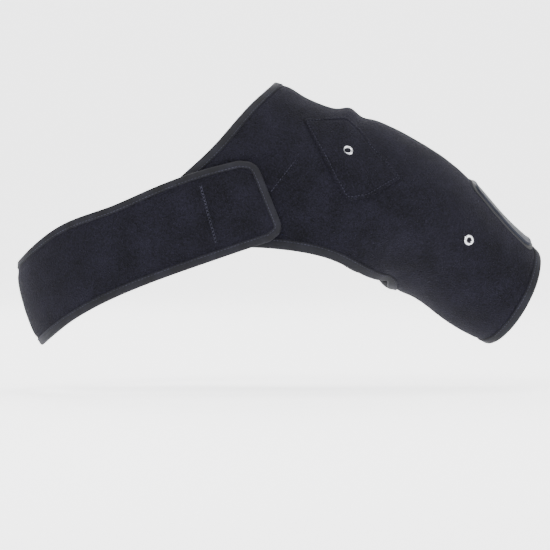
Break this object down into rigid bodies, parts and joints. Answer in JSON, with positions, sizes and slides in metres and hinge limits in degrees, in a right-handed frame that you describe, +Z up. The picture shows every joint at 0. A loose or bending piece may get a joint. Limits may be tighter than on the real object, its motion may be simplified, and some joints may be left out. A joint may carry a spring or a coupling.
{
  "type": "cold compression shoulder wrap",
  "caption": "Padded shoulder sleeve with a chest strap, hook-and-loop tabs and gel packs held inside by snap fasteners.",
  "frame": {"origin": "centre of the shoulder joint inside the wrap", "axes": "+X out towards the left arm, -Y to the chest side, +Z up"},
  "size_m": [0.4748, 0.2078, 0.2395],
  "materials": {
    "loop_fabric": "brushed loop-pile knit, near-black navy",
    "lining_fabric": "smooth knitted lining",
    "foam": "closed-cell foam",
    "binding_tape": "folded binding tape with a stitch row",
    "badge_backing": "soft matte backing",
    "badge_plastic": "smooth glossy moulded plate, blank",
    "hook_tape": "hook tape",
    "webbing": "sewn pad",
    "snap_metal": "nickel plated, polished",
    "stud_metal": "plated brass, satin",
    "socket_plastic": "moulded acetal",
    "gel": "soft cooling gel",
    "pack_film": "smooth welded film"
  },
  "bodies": {
    "wrap": {"outer_shell": "loop_fabric", "inner_lining": "lining_fabric", "sleeve_foam": "foam", "front_foam": "foam", "back_foam": "foam", "edge_binding": "binding_tape", "hem_binding": "binding_tape", "shoulder_patch": "loop_fabric", "badge_backing": "badge_backing", "badge_plate": "badge_plastic", "strap_lining": "lining_fabric", "strap_foam": "foam", "strap_face": "loop_fabric", "strap_binding": "binding_tape", "strap_anchor": "webbing", "arm_tab_root": "loop_fabric", "shoulder_snap_cap": "snap_metal", "arm_snap_cap": "snap_metal", "shoulder_snap_stud": "stud_metal", "arm_snap_stud": "stud_metal"},
    "chest_tab": {"tab_lining": "lining_fabric", "tab_foam": "foam", "tab_face": "loop_fabric", "tab_binding": "binding_tape", "tab_hook": "hook_tape"},
    "arm_tab": {"arm_tab_face": "loop_fabric", "arm_tab_hook": "hook_tape"},
    "shoulder_pack": {"shoulder_pack_socket": "socket_plastic", "shoulder_pack_gel": "gel", "shoulder_pack_film": "pack_film"},
    "arm_pack": {"arm_pack_socket": "socket_plastic", "arm_pack_gel": "gel", "arm_pack_film": "pack_film"}
  },
  "joints": [
    {"name": "chest_tab_peel", "type": "hinge", "parent": "wrap", "child": "chest_tab", "pos_m": [-0.1665, -0.0985, -0.01675], "axis": [0.2595, -0.1838, -0.9481], "range_deg": [0, 140]},
    {"name": "arm_tab_peel", "type": "hinge", "parent": "wrap", "child": "arm_tab", "pos_m": [0.053, 0.08017, -0.07], "axis": [-0.7946, -0.1605, 0.5855], "range_deg": [0, 100]},
    {"name": "shoulder_pack_release", "type": "slide", "parent": "wrap", "child": "shoulder_pack", "axis": [-0.1252, 0.8484, -0.5143], "range_m": [0, 0.03]},
    {"name": "arm_pack_release", "type": "slide", "parent": "wrap", "child": "arm_pack", "axis": [-0.4733, 0.8807, 0.0185], "range_m": [0, 0.02]}
  ]
}
